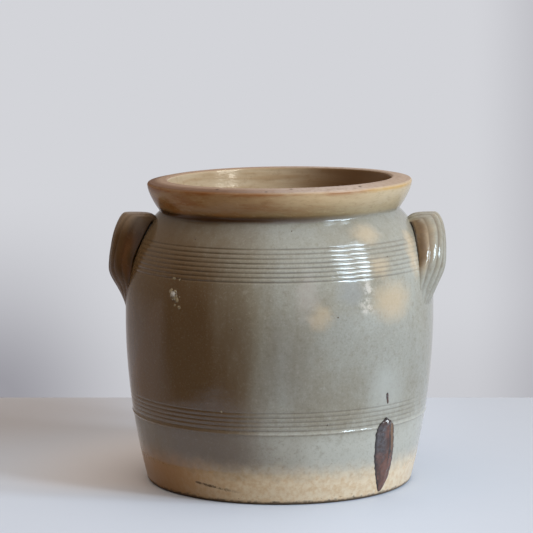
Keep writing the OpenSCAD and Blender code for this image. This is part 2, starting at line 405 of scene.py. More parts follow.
def salt_glaze(made):
    """The grey-green glaze: mottled, darkened round the belly by painted shade, pale below the lower comb,
    and brown to the left, partly the glaze's own flashing and partly painted shade on the side away from the
    window.
    """
    cloud = made.noise(13.0, 4.0, 0.55)
    runs = made.noise(30.0, 4.0, 0.6, stretch=(1.0, 1.0, 0.22))
    mottle = made.noise(240.0, 4.0, 0.65)
    made.colour = made.mix(made.fade(cloud, 0.36, 0.66), srgb(164, 166, 160), srgb(150, 146, 133))
    made.wash(made.fade(runs, 0.48, 0.72) * 0.45, srgb(174, 178, 175))
    below_comb = made.fade(made.z + (cloud - 0.5) * 0.03 + (mottle - 0.5) * 0.006, 0.066, 0.046)
    made.wash(made.fade(made.x, -0.06, 0.04) * below_comb * 0.8, srgb(196, 201, 199))
    # Brown to the left: partly the glaze's brown flashing, partly painted shade on the side away from the
    # window.
    across = made.x + made.z * 0.22 + (runs - 0.5) * 0.07 + (cloud - 0.5) * 0.05
    brown_and_shaded_side = made.fade(across, 0.054, -0.030)
    made.wash(brown_and_shaded_side * (below_comb * -0.22 + 1.0), srgb(107, 84, 57))
    made.wash(made.fade(mottle, 0.5, 0.8) * 0.4, srgb(120, 108, 88))
    pale = made.fade(mottle, 0.48, 0.22) * (brown_and_shaded_side * -0.85 + 1.0)
    made.wash(pale * 0.28, srgb(192, 193, 188))
    grain = made.noise(700.0, 2.0, 0.6)
    made.wash(made.fade(grain, 0.52, 0.76) * 0.30, srgb(116, 106, 88))
    made.wash(made.fade(grain, 0.46, 0.24) * (brown_and_shaded_side * -0.7 + 1.0) * 0.22, srgb(200, 201, 196))
    # Painted shade: the belly between the two combs is darkened all round.
    above_comb = made.fade(made.z + (cloud - 0.5) * 0.05, 0.060, 0.090)
    below_shoulder = made.fade(made.z + (runs - 0.5) * 0.05, 0.150, 0.115)
    made.wash(above_comb * below_shoulder * 0.15, srgb(72, 60, 44))
    made.wash(made.fade(made.z, 0.165, 0.200) * 0.28, srgb(122, 114, 98))
    return mottle


COOL_GLOSS = (0.78, 0.90, 1.0, 1.0)
WARM_GLOSS = (1.0, 0.82, 0.60, 1.0)
LINING_GLOSS = (1.0, 0.86, 0.70, 1.0)
FLASHES = [
    (43.7, 0.1948, 0.0175, 0.60, 0.42), (49.5, 0.1465, 0.0280, 0.72, 0.52), (19.4, 0.1389, 0.0125, 1.0, 0.42),
    (45.0, 0.1721, 0.0140, 0.80, 0.40), (69.9, 0.1864, 0.0100, 1.4, 0.36), (66.8, 0.1784, 0.0100, 1.4, 0.36),
    (66.2, 0.1698, 0.0100, 1.4, 0.36)]
PAINTED_GLINTS = [(37.5, 0.1596, 1.6), (38.0, 0.1531, 1.5), (36.6, 0.1476, 1.2), (37.8, 0.1424, 0.9)]
RIM_PITS = [(42.9, 0.0938), (9.9, 0.0906), (-1.0, 0.0968), (-24.0, 0.0930)]


def body_finish(name, gloss, tint):
    """Salt glaze on grey stoneware: tan flashes, painted glints and reflections, a tan collar, a dark brown
    crease of painted shade, bare rim and foot, painted shade to the left and a painted contact shadow at the
    foot.
    """
    made = Finish(name)
    mottle = salt_glaze(made)
    ragged = (made.noise(110.0, 5.0, 0.7) - 0.5) * 0.014

    for turn, height, radius, tall, strength in FLASHES:
        spot = made.near(on_wall(turn, height), radius, ragged, tall)
        made.wash(spot * strength, srgb(212, 189, 156))
    # Painted glints: a short column of small white highlights on the right, below the upper comb.
    for turn, height, tall in PAINTED_GLINTS:
        spot = made.near(on_wall(turn, height), 0.0062, ragged, tall) * made.fade(mottle, 0.56, 0.44)
        made.wash(spot * 0.62, srgb(220, 216, 211))
    made.wash(made.near(on_wall(6.0, 0.112), 0.034, ragged, 1.5) * 0.16, srgb(78, 70, 58))
    made.wash(made.near(on_wall(48.0, 0.082), 0.026, ragged, 1.2) * 0.40, srgb(190, 197, 200))
    # Painted reflections: a pale rosy streak and a bluish-grey patch on the right, below the upper comb,
    # stand in for broken reflections of the window.
    made.wash(made.near(on_wall(14.5, 0.155), 0.012, ragged, 2.0) * 0.32, srgb(200, 194, 194))
    made.wash(made.near(on_wall(31.5, 0.157), 0.017, ragged) * 0.4, srgb(150, 158, 168))

    made.wash(made.mark("cut").math("MINIMUM", 1.0) * 0.42, srgb(92, 74, 52))
    rise = made.z - made.x * TOP_LEAN
    # Warmer and darker to the left: partly brown flashing, partly painted shade on the collar, crease and rim
    # on the side away from the window.
    warm_shaded_left = made.fade(made.x, 0.045, -0.045)
    wisps = made.noise(24.0, 4.0, 0.62, stretch=(1.0, 1.0, 5.0))
    fine_wisps = made.noise(170.0, 4.0, 0.65, stretch=(1.0, 1.0, 3.5))
    # The collar is olive towards the crease and tan above: partly glaze colour, partly painted shade under
    # the flare.
    up_collar = made.fade(rise, CREASE_HEIGHT + 0.002, CREASE_HEIGHT + 0.017)
    collar = made.mix(up_collar, srgb(154, 140, 108), srgb(206, 184, 150))
    collar = made.mix(made.fade(wisps, 0.42, 0.66) * (warm_shaded_left * 0.6 + 0.2), collar, srgb(150, 98, 48))
    collar = made.mix(made.fade(made.x, 0.03, 0.09) * 0.6, collar, srgb(194, 184, 162))
    collar = made.mix(warm_shaded_left * 0.58, collar, srgb(146, 98, 50))
    collar = made.mix(made.fade(fine_wisps, 0.50, 0.72) * 0.26, collar, srgb(122, 90, 54))
    collar = made.mix(made.fade(fine_wisps, 0.44, 0.26) * 0.25, collar, srgb(218, 200, 166))
    made.wash(made.fade(rise, CREASE_HEIGHT + 0.0005, CREASE_HEIGHT + 0.004), collar)
    # Painted shade: a dark brown line in the crease under the overhanging collar, strongest to the left and
    # fading out to the right.
    off_crease = (rise - CREASE_HEIGHT - 0.0012 + (wisps - 0.5) * 0.004).math("ABSOLUTE")
    crease_shade_share = warm_shaded_left * 0.30 + made.fade(made.x, 0.07, 0.02) * 0.66 + 0.06
    made.wash(made.fade(off_crease, 0.0040, 0.0006) * crease_shade_share, srgb(80, 54, 30))

    foot_line = (made.noise(14.0, 2.0, stretch=(1.0, 1.0, 0.2)) - 0.5) * 0.014
    foot_line = foot_line + (made.noise(150.0, 4.0) - 0.5) * 0.008
    foot = made.fade(made.z - foot_line + made.x * 0.045, 0.036, 0.015)
    foot_clay = made.mix(made.fade(mottle, 0.35, 0.7), srgb(244, 232, 212), srgb(226, 203, 172))
    # Browner and darker towards the left of the foot: partly the clay's colour, partly painted shade on the
    # side away from the window.
    foot_clay = made.mix(made.fade(made.x, -0.008, -0.080) * 0.92, foot_clay, srgb(158, 110, 56))
    made.wash(foot * 0.9, foot_clay)
    chips = made.noise(420.0, 3.0, 0.7)
    worn = made.fade(made.z, 0.011, 0.0005) * made.fade(chips, 0.60, 0.70)
    made.wash(worn * 0.7, srgb(92, 62, 38))
    angle = made.x.math("ARCTAN2", made.y * -1.0)
    along = (angle + 0.552) / 0.374
    off_line = (made.z - (along * -0.0046 + 0.0133) + (mottle - 0.5) * 0.0035).math("ABSOLUTE")
    scratch = made.fade(off_line, 0.0014, 0.0003)
    scratch = scratch * made.fade(along, -0.02, 0.03) * made.fade(along, 1.05, 0.4)
    made.wash(scratch * made.fade(chips, 0.36, 0.5) * 0.85, srgb(64, 42, 26))
    # Painted contact shadow: the lowest few millimetres of the foot are darkened.
    painted_shade = made.fade(made.z + (mottle - 0.5) * 0.006, 0.0036, 0.0012)
    made.wash(painted_shade * 0.85, srgb(66, 46, 30))

    bare = made.mark("bare")
    rim_bare = bare * made.fade(made.z, 0.1, 0.15)
    rim_clay = made.mix(made.fade(mottle, 0.4, 0.75), srgb(176, 161, 152), srgb(156, 137, 124))
    reach = (made.x * made.x + made.y * made.y).math("SQRT")
    # Painted shade on the rim band's left, darkest towards its outer edge.
    rim_left_shade = made.mix(made.fade(reach, 0.089, 0.0965), srgb(150, 124, 104), srgb(98, 64, 38))
    rim_clay = made.mix(warm_shaded_left * 0.88, rim_clay, rim_left_shade)
    # Painted shade on the rim band's right end.
    rim_clay = made.mix(made.fade(made.x, 0.05, 0.09) * 0.5, rim_clay, srgb(154, 130, 106))
    for turn, radius in RIM_PITS:
        pit = made.near(on_rim(turn, radius), 0.0020, ragged * 0.06, 0.6)
        rim_clay = made.mix(pit * 0.9, rim_clay, srgb(62, 42, 30))
    made.wash(rim_bare, rim_clay)
    lip = made.mark("lip") * made.fade(wisps, 0.30, 0.56)
    gold = made.fade(made.x, 0.06, 0.08)
    made.wash(lip * 0.7, made.mix(gold, srgb(150, 92, 48), srgb(190, 146, 62)))

    matt = rim_bare.math("MAXIMUM", foot * 0.5).math("MAXIMUM", bare) * 0.5
    on_collar = made.fade(rise, CREASE_HEIGHT, CREASE_HEIGHT + 0.004) * 0.10
    roughness = made.fade(mottle, 0.3, 0.8) * 0.06 + 0.04 + matt + on_collar
    skin = made.bump(made.noise(46.0, 3.0, 0.55, stretch=(1.0, 1.0, 0.5)), 0.16, 0.002)
    skin = made.bump(mottle, 0.12, 0.0007, skin)
    skin = made.bump(made.noise(900.0, 2.0), 0.05, 0.0004, skin)
    return made.coat(roughness, skin, IOR=gloss, Specular_Tint=tint)


def lining_finish():
    """The thin tan glaze inside, with the throwing rings showing, browner lower down, and darkened on its
    right side by painted shade.
    """
    made = Finish("tan_lining_glaze")
    rings = made.noise(20.0, 4.0, 0.6, stretch=(1.0, 1.0, 9.0))
    mottle = made.noise(200.0, 4.0, 0.65)
    made.colour = made.mix(made.fade(rings, 0.36, 0.70), srgb(192, 172, 144), srgb(174, 148, 116))
    # Painted shade: the lining's right side is darkened to brown.
    made.wash(made.fade(made.x, -0.025, 0.06) * 0.92, srgb(96, 58, 26))
    made.wash(made.fade(made.z, 0.205, 0.10) * 0.6, srgb(112, 78, 46))
    throat = made.fade(made.z - made.x * TOP_LEAN, 0.206, 0.224) * made.fade(made.x, 0.0, 0.06)
    made.wash(throat * 0.45, srgb(150, 122, 92))
    made.wash(made.fade(mottle, 0.5, 0.8) * 0.4, srgb(128, 96, 62))
    skin = made.bump(rings, 0.2, 0.0015)
    skin = made.bump(mottle, 0.12, 0.0007, skin)
    roughness = made.fade(mottle, 0.3, 0.8) * 0.12 + 0.12
    return made.coat(roughness, skin, IOR=1.40, Specular_Tint=LINING_GLOSS)


def store(shape, name, values):
    """Keeps a value for each point of a mesh, for its finish to read."""
    shape.attributes.new(name, "FLOAT", "POINT").data.foreach_set("value", values)


section = bpy.data.meshes.new("thrown_section")
rows = thrown_profile()
section.from_pydata([(row[0], 0.0, row[1]) for row in rows], [(i, i + 1) for i in range(len(rows) - 1)], [])
for column, title in enumerate(("cut", "bare", "inside", "lip"), start=2):
    store(section, title, [row[column] for row in rows])
body = grown("thrown_body", section, wheel_tree(), {
    "Facets": 384, "Out of round": 0.004, "Throwing rings": 0.0013, "Comb depth": 0.00048, "Comb waver": 0.9,
    "Handle turn": math.radians(STRAP_TURN), "Top lean": TOP_LEAN, "Rim wave": 0.0004, "Seed": 3.7,
    "Glaze": body_finish("salt_glazed_stoneware", 1.62, COOL_GLOSS),
    "Collar": body_finish("wiped_collar_glaze", 1.32, COOL_GLOSS),
    "Foot": body_finish("wiped_foot_clay", 1.42, WARM_GLOSS),
    "Lining": lining_finish()})
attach(body, "root")
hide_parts("pot_body")


# Handles. Two straps of clay pulled through a fluted die, bent over and luted to the shoulder.
# The root is pinched flat under the collar and the tail is smeared down into the wall.
# The strap's long edges curl in to the wall, so that only a hairline of the slit under the arm shows.
ROOT_NARROW = 0.58
TAIL_WIDTH = 0.026
STRAP_REACH = 0.0105
ARM = 0.007
SLIT = 0.0025
FLUTES, FLUTE_STEPS = 8, 8
SEAT_SINK = 0.005
STRAP_LIP = 0.0055
KNUCKLE = 0.170
EDGE_CURL = 3.2
EDGE_WEAR = 0.0012
EDGE_TUCK = 0.05
LIP_PROUD, KNUCKLE_PROUD = 0.0042, 0.0034
LIP_GAP, KNUCKLE_GAP, TAIL_GAP = 0.0005, 0.0001, -0.004
FACE_SWEEP = math.radians(60)
FACE_STEPS, SIDE_STEPS, BACK_STEPS, STRETCH_STEPS = FLUTES * FLUTE_STEPS, 4, 10, 16


def lerp(start, end, share):
    """The value a share of the way from start to end."""
    return start + (end - start) * share


def bent(points, share):
    """A point of the curve that four guide points pull."""
    rest = 1 - share
    weights = (rest ** 3, 3 * rest ** 2 * share, 3 * rest * share ** 2, share ** 3)
    return sum((point * weight for point, weight in zip(points, weights)), Vector((0.0, 0.0)))


def strap_lines(top, tail, sag):
    """The outer and inner line of a strap, in radius and height, as three bent stretches each."""
    reach = BELLY_RADIUS + STRAP_REACH
    arm = top - ARM
    root_height = top - ARM * 0.85
    root = Vector((wall_radius(root_height), root_height))
    pinch = root + Vector((0.0004, 0.0055))
    crest = Vector((lerp(wall_radius(arm), reach, 0.62), top))
    knuckle = Vector((reach + sag * 0.3, KNUCKLE - sag))
    heel_rise = 0.018 + sag * 1.1
    heel = Vector((wall_radius(tail + heel_rise) + 0.0015 + sag * 0.15, tail + heel_rise))
    end = Vector((wall_radius(tail) - SEAT_SINK / 2, tail))
    outer = [
        [root - Vector((SEAT_SINK, 0)), pinch, Vector((root.x + 0.0010, top)), crest],
        [crest, Vector((reach - 0.0055, top)), knuckle + Vector((-0.0006, 0.021)), knuckle],
        [knuckle, knuckle - Vector((0, 0.018 - sag)), heel, end],
    ]
    shoulder = Vector((wall_radius(arm) - SEAT_SINK, arm - 0.003))
    under_arm = Vector((wall_radius(arm) + SLIT / 2, arm))
    slit_top = Vector((wall_radius(arm) + SLIT + 0.003, arm))
    slit_low = Vector((wall_radius(arm - 0.010) + SLIT * 1.5, arm - 0.010))
    belly = Vector((wall_radius(KNUCKLE) - SEAT_SINK / 2, KNUCKLE))
    seat = Vector((wall_radius(tail) - SEAT_SINK, tail))
    inner = [
        [shoulder, shoulder.lerp(under_arm, 0.3), shoulder.lerp(under_arm, 0.7), under_arm],
        [under_arm, slit_top, slit_low, belly],
        [belly, belly.lerp(seat, 0.3), belly.lerp(seat, 0.7), seat],
    ]
    return outer, inner


def strap_edge(stretch, share, top, tail):
    """The upper and lower arris of a strap's long edge, in radius and height: both run close to the wall."""
    lip = top - STRAP_LIP
    height = lerp(*((lip - 0.004, lip), (lip, KNUCKLE), (KNUCKLE, tail))[stretch], share)
    proud = lerp(*((-SEAT_SINK, LIP_PROUD), (LIP_PROUD, KNUCKLE_PROUD), (KNUCKLE_PROUD, 0.0))[stretch], share)
    gap = lerp(*((-SEAT_SINK, LIP_GAP), (LIP_GAP, KNUCKLE_GAP), (KNUCKLE_GAP, TAIL_GAP))[stretch], share)
    wall = wall_radius(height)
    return Vector((wall + proud, height)), Vector((wall + gap, height))


def strap_loop(step, lines, top, tail, width, flute_depth, seed):
    """One section of a strap: the place aside, radius and height, flute, flank and slit of its points."""
    outer, inner = lines
    stretch = min(step // STRETCH_STEPS, 2)
    share = step / STRETCH_STEPS - stretch
    ridge_line, low = bent(outer[stretch], share), bent(inner[stretch], share)
    edge_top, edge_low = strap_edge(stretch, share, top, tail)
    pinched = (1.0, (1 - share) ** 2.5, 0.0)[stretch]
    half = lerp(1.0, ROOT_NARROW, pinched) * width / 2
    if stretch == 2:
        half = lerp(width, TAIL_WIDTH, share ** 2) / 2 * math.sqrt(1 - 0.9 * share ** 6)
    shown = (lerp(0.4, 1.0, share), 1.0, 1 - share)[stretch]
    smeared = min(1.0, max(0.0, (stretch + share - 1.9) / 0.6)) ** 1.4
    wall = wall_radius(ridge_line.y)
    loop = []
    for i in range(FACE_STEPS + 1):
        across = math.sin(lerp(-FACE_SWEEP, FACE_SWEEP, i / FACE_STEPS)) / math.sin(FACE_SWEEP)
        curl = abs(across) ** EDGE_CURL
        ridge = abs(math.sin(math.pi * FLUTES * i / FACE_STEPS)) ** 0.8
        pull = 0.8 + 0.6 * noise.noise(Vector((i // FLUTE_STEPS * 3.1 + seed, step * 0.09, 0.0)))
        worn = EDGE_WEAR * (1 - math.sqrt(max(0.0, 1 - max(0.0, (abs(across) - 0.94) / 0.06) ** 2)))
        cut = flute_depth * (1 - ridge) * pull * shown + worn
        face_spot = ridge_line.lerp(edge_top, curl)
        face_spot += (low.lerp(edge_low, curl) - face_spot).normalized() * cut
        dome = wall - 0.0003 + (ridge_line.x - wall) * math.cos(math.pi / 2 * across) ** 1.6 - cut
        face_spot = face_spot.lerp(Vector((dome, ridge_line.y)), smeared)
        browned = max(0.0, (abs(across) - 0.45) / 0.55) * (1 - smeared)
        loop.append((across, face_spot, (1 - ridge) * shown, browned, 0.0))
    near, far = loop[0][1], loop[-1][1]
    for k in range(1, SIDE_STEPS):
        down = k / SIDE_STEPS
        loop.append((1 - EDGE_TUCK * down ** 1.5, far.lerp(edge_low, down), 0.0, 1.0 - smeared, down))
    tucked = 1 - EDGE_TUCK
    for k in range(BACK_STEPS + 1):
        across = lerp(tucked, -tucked, k / BACK_STEPS)
        loop.append((across, low.lerp(edge_low, abs(across / tucked) ** EDGE_CURL), 0.0, 1.0, 1.0))
    for k in range(1, SIDE_STEPS):
        down = 1 - k / SIDE_STEPS
        loop.append((EDGE_TUCK * down ** 1.5 - 1, near.lerp(edge_low, down), 0.0, 1.0 - smeared, down))
    return [(across * half, spot, valley, flank, slit * (1 - smeared))
            for across, spot, valley, flank, slit in loop]


def strap(name, turn, top, tail, width, lean, twist, sag, flute_depth, seed, finish):
    """A fluted strap lofted along its lines, wrapped round the wall and turned to its place on the pot."""
    lines = strap_lines(top, tail, sag)
    spots, marks, faces = [], [], []
    for step in range(3 * STRETCH_STEPS + 1):
        loop = strap_loop(step, lines, top, tail, width, flute_depth, seed)
        for aside, (radius, height), *values in loop:
            up = height - KNUCKLE
            aside = aside + up * lean + twist * max(0.0, up / (top - KNUCKLE)) ** 2
            dent = 0.0005 * noise.noise(Vector((aside * 70, height * 70, seed)))
            radius = max(radius + dent, wall_radius(height) - SEAT_SINK)
            angle = aside / wall_radius(KNUCKLE)
            spots.append(Vector((radius * math.cos(angle), radius * math.sin(angle), height)))
            marks.append(values)
    around = len(loop)
    for first in range(0, len(spots) - around, around):
        for k in range(around):
            a, b = first + k, first + (k + 1) % around
            faces.append((a, b, b + around, a + around))
    for first in (0, len(spots) - around):
        spots.append(sum(spots[first:first + around], Vector()) / around)
        marks.append((0.0, 1.0, 0.0))
        faces += [(first + k, first + (k + 1) % around, len(spots) - 1) for k in range(around)]
    swing = Matrix.Rotation(math.radians(turn), 3, "Z")
    spots = [swing @ spot for spot in spots]
    spots = [spot + Vector((0, 0, TOP_LEAN * spot.x * spot.z / HEIGHT)) for spot in spots]
    shape = bpy.data.meshes.new(name)
    shape.from_pydata(spots, [], faces)
    for title, values in zip(("valley", "flank", "slit"), zip(*marks)):
        store(shape, title, values)
    face_out(shape)
    shape.materials.append(finish)
    piece = stand(name, shape)
    rounded = piece.modifiers.new("worn_edges", "SUBSURF")
    rounded.levels = rounded.render_levels = 1
    return piece


def face_out(shape, weld=0.0):
    """Merges points closer than weld, points every face of a closed mesh outwards and shades it smooth."""
    work = bmesh.new()
    work.from_mesh(shape)
    if weld:
        bmesh.ops.remove_doubles(work, verts=work.verts, dist=weld)
    bmesh.ops.recalc_face_normals(work, faces=work.faces)
    for face in work.faces:
        face.smooth = True
    work.to_mesh(shape)
    work.free()


def strap_finish(name, gloss, smooth):
    """The glaze of the wall, thin and brown along the strap's edges and in its flutes, with painted shade in
    the slit and along its edge; the left strap is dark brown, partly with painted shade, and has a painted
    lighter top.
    """
    made = Finish(name)
    mottle = salt_glaze(made)
    runs = made.noise(60.0, 3.0, 0.6, stretch=(1.0, 1.0, 0.2))
    high = made.fade(made.z, 0.150, 0.175)
    made.wash(made.fade(runs, 0.40, 0.7) * high * 0.5, srgb(176, 168, 148))
    flank = made.mark("flank") + (runs - 0.5) * 0.3 + (mottle - 0.5) * 0.15
    below_top = made.fade(made.z + (mottle - 0.5) * 0.008, 0.2035, 0.1900)
    made.wash(made.fade(flank, 0.38, 0.72) * high * below_top * 0.6, srgb(164, 138, 104))
    thin = made.mix(made.fade(mottle, 0.3, 0.7), srgb(86, 62, 36), srgb(114, 86, 54))
    made.wash(made.fade(flank, 0.70, 0.94) * 0.88, thin)
    made.wash(made.mark("valley") * 0.62, srgb(92, 74, 50))
    # The left strap is dark brown: partly thin glaze, partly painted shade on the side away from the window.
    left_end = made.fade(made.x, 0.02, -0.09)
    made.wash(left_end * 0.9, srgb(96, 70, 42))
    # Painted highlight: a lighter band along the left strap's top.
    lit_top = made.fade(made.z + (runs - 0.5) * 0.02, 0.184, 0.202)
    made.wash(lit_top * left_end * 0.6, srgb(158, 142, 124))
    made.wash(made.mark("valley") * left_end * 0.35, srgb(60, 43, 27))
    rusty = made.fade(flank, 0.45, 0.68) * made.fade(flank, 0.98, 0.78) * made.fade(made.z, 0.194, 0.184)
    made.wash(rusty * left_end * 0.28, srgb(132, 82, 50))
    # Painted shade: a darker curl along the slit at the top of the left strap.
    curled = made.fade(flank, 0.40, 0.80) * made.fade(made.z, 0.176, 0.192)
    made.wash(curled * left_end * 0.5, srgb(54, 37, 23))
    made.wash(made.fade(mottle, 0.5, 0.8) * 0.3, srgb(108, 86, 58))
    # Painted shade: a dark hairline along the strap's edge against the wall, on the right strap.
    hairline = made.fade(made.mark("flank") + (mottle - 0.5) * 0.05, 0.976, 1.012)
    made.wash(hairline * made.fade(made.x, -0.05, 0.05) * 0.8, srgb(44, 30, 19))
    # Painted shade in the slit under the strap, lighter low on the left strap.
    painted_shade = made.fade(made.mark("slit"), 0.06, 0.5)
    made.wash(painted_shade * (left_end * made.fade(made.z, 0.181, 0.174) * -0.8 + 0.94), srgb(36, 24, 15))
    skin = made.bump(made.noise(60.0, 3.0), 0.14, 0.0015)
    skin = made.bump(mottle, 0.14, 0.0007, skin)
    roughness = made.fade(mottle, 0.3, 0.8) * 0.08 + smooth
    return made.coat(roughness, skin, IOR=gloss, Specular_Tint=COOL_GLOSS)


right_strap = strap(
    "right_strap", -STRAP_TURN, top=0.2014, tail=0.1268, width=0.046, lean=math.tan(math.radians(20)),
    twist=0.010, sag=0.0, flute_depth=0.0018, seed=2.0, finish=strap_finish("fluted_strap_glaze", 1.62, 0.07))
left_strap = strap(
    "left_strap", 180 + STRAP_TURN, top=0.2050, tail=0.1210, width=0.049, lean=math.tan(math.radians(9)),
    twist=0.0, sag=0.007, flute_depth=0.0008, seed=9.0, finish=strap_finish("dry_strap_glaze", 1.36, 0.22))
for handle, node in ((right_strap, "right_handle"), (left_strap, "left_handle")):
    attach(handle, "root")
    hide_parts(node)


# Slag run. A crumb of iron-rich slag that fell on the pot in the kiln, melted and ran down to the foot.
# It is a dark glassy skin fused to the wall. A bead curls along its upper end, with a short trickle above.
RUN_EDGES = [
    (0.0608, 48.4, 48.7), (0.0598, 48.0, 49.2), (0.0588, 47.2, 50.2), (0.0570, 45.9, 52.0),
    (0.0540, 44.4, 53.4), (0.0490, 43.9, 54.2), (0.0420, 44.1, 54.9), (0.0316, 44.5, 55.8),
    (0.0222, 45.8, 55.8), (0.0132, 47.6, 55.1), (0.0068, 49.3, 53.3), (0.0030, 50.6, 51.6)]
TRICKLE_EDGES = [
    (0.0792, 47.9, 48.3), (0.0782, 47.5, 48.6), (0.0755, 47.7, 48.8), (0.0725, 48.1, 49.1),
    (0.0706, 48.6, 48.9)]
BEAD_PATH = [(50.4, 0.0580), (49.2, 0.0572), (47.6, 0.0552), (46.2, 0.0524)]
BEAD_GIRTH = 0.109
BEAD_WIDTH = 0.0016
SLAG_SKIN, TRICKLE_SKIN = 0.0015, 0.0007
SLAG_BEAD = 0.0014
SLAG_SUNK = 0.0012


def leaned(angle, radius, height):
    """A place round the pot's axis, with the lean of the whole pot."""
    x = radius * math.sin(angle)
    return (x, -radius * math.cos(angle), height + TOP_LEAN * x * height / HEIGHT)


def on_bead(turn, height):
    """How much of the curled bead lies at a place on the wall, from 0 to 1."""
    here = Vector((math.radians(turn) * BEAD_GIRTH, height))
    path = [Vector((math.radians(t) * BEAD_GIRTH, h)) for t, h in BEAD_PATH]
    away = []
    for start, end in zip(path, path[1:]):
        share = max(0.0, min(1.0, (here - start).dot(end - start) / (end - start).length_squared))
        away.append((here - start.lerp(end, share)).length)
    return bell(min(away), 0.0, BEAD_WIDTH)


def slag_lens(edges, skin, bead, long_steps, cross_steps):
    """A closed lens that follows the wall between two ragged edges, with its back sunk in the glaze."""
    spots, lengths, sides, faces = [], [], [], []
    for side in (1, -1):
        for i in range(long_steps + 1):
            share = i / long_steps
            place = share * (len(edges) - 1)
            row = min(int(place), len(edges) - 2)
            height, left, right = (lerp(a, b, place - row) for a, b in zip(edges[row], edges[row + 1]))
            for j in range(cross_steps + 1):
                across = 2 * j / cross_steps - 1
                ragged = 0.05 * (right - left) * noise.noise(Vector((height * 420, across * 2.0, 4.0)))
                turn = lerp(left, right, (across + 1) / 2) + ragged * abs(across)
                swell = max(0.0, 1 - abs(across) ** 2.6) ** 0.55
                swell = swell * max(0.0, math.sin(math.pi * share ** 0.6)) ** 0.3
                lump = 0.5 + noise.noise(Vector((turn * 0.45, height * 260, 1.0)))
                rise = (skin * (0.65 + 0.5 * lump) + bead * on_bead(turn, height)) * swell
                if side < 0 or i in (0, long_steps) or j in (0, cross_steps):
                    rise = -SLAG_SUNK
                spots.append(leaned(math.radians(turn), wall_radius(height) + rise, height))
                lengths.append(share)
                sides.append(across)
    wide = cross_steps + 1
    half = wide * (long_steps + 1)
    for i in range(long_steps):
        for j in range(cross_steps):
            a = i * wide + j
            quad = (a, a + 1, a + 1 + wide, a + wide)
            faces += [quad, tuple(half + k for k in reversed(quad))]
    return spots, lengths, sides, faces


def slag_finish():
    """Dark maroon glass: a painted bluish reflection at the upper left, black along its edges, tan where it
    thins at the right.
    """
    made = Finish("iron_slag_glass")
    cloud = made.noise(90.0, 4.0, 0.6, distortion=0.6)
    mottle = made.noise(420.0, 3.0, 0.6)
    along, across = made.mark("along"), made.mark("across") + (cloud - 0.5) * 0.5
    made.colour = made.mix(made.fade(cloud, 0.36, 0.6), srgb(74, 46, 38), srgb(112, 72, 60))
    # Painted reflection: a bluish-grey sheen over the upper left.
    bluish = made.fade(across, 0.25, -0.35) * made.fade(along, 0.20, 0.36)
    bluish = bluish * made.fade(along + (cloud - 0.5) * 0.3, 0.72, 0.5)
    blue_sheen_colour = made.mix(made.fade(mottle, 0.35, 0.65), srgb(50, 48, 52), srgb(88, 92, 104))
    made.wash(bluish * 0.8, blue_sheen_colour)
    tan = made.fade(across, 0.42, 0.62) * made.fade(along, 0.2, 0.3) * made.fade(along, 0.66, 0.56)
    made.wash(tan * 0.8, srgb(120, 92, 62))
    seam = made.fade((across - 0.42).math("ABSOLUTE"), 0.14, 0.04) * made.fade(along, 0.80, 0.6)
    rind = made.fade(made.mark("across").math("ABSOLUTE"), 0.74, 0.92)
    rind = rind.math("MAXIMUM", seam).math("MAXIMUM", made.fade(along, 0.24, 0.12))
    made.wash(rind * 0.85, srgb(30, 20, 16))
    made.wash(made.fade(along, 0.40, 0.20) * 0.6, srgb(36, 29, 30))
    made.wash(made.fade(mottle, 0.55, 0.75) * 0.5, srgb(26, 20, 18))
    below_bead = made.fade(along, 0.16, 0.30)
    skin = made.bump(cloud, below_bead * 0.35, 0.0012)
    skin = made.bump(mottle, below_bead * 0.25, 0.0004, skin)
    return made.coat(made.fade(mottle, 0.3, 0.8) * below_bead * 0.16 + 0.06, skin, IOR=1.7)


slag_spots, slag_lengths, slag_sides, slag_faces = slag_lens(RUN_EDGES, SLAG_SKIN, SLAG_BEAD, 84, 34)
more_spots, more_lengths, more_sides, more_faces = slag_lens(TRICKLE_EDGES, TRICKLE_SKIN, 0.0, 20, 8)
slag_faces += [tuple(len(slag_spots) + corner for corner in face) for face in more_faces]
slag_shape = bpy.data.meshes.new("slag_run")
slag_shape.from_pydata(slag_spots + more_spots, [], slag_faces)
store(slag_shape, "along", slag_lengths + more_lengths)
store(slag_shape, "across", slag_sides + more_sides)
face_out(slag_shape, WELD)
slag_shape.materials.append(slag_finish())
slag = stand("slag_run", slag_shape)
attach(slag, "root")
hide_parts("iron_drip")


# Salt blisters. Beads of salt glaze that boiled up in the kiln and set as pale glassy lumps on the left of
# the wall. They are fused to the skin of the glaze.
BLISTERS = [
    (-36.7, 0.1523, 0.0040), (-38.0, 0.1549, 0.0024), (-35.2, 0.1493, 0.0024), (-35.8, 0.1453, 0.0016),
    (-33.8, 0.1438, 0.0017), (-37.3, 0.1644, 0.0016), (-34.3, 0.1635, 0.0013), (-33.9, 0.1515, 0.0012),
    (-5.1, 0.0885, 0.0009), (-17.1, 0.0698, 0.0012), (-5.8, 0.0605, 0.0008)]
BLISTER_RISE = 0.30
BLISTER_SUNK = 0.0004
BLISTER_WELD = 0.000002


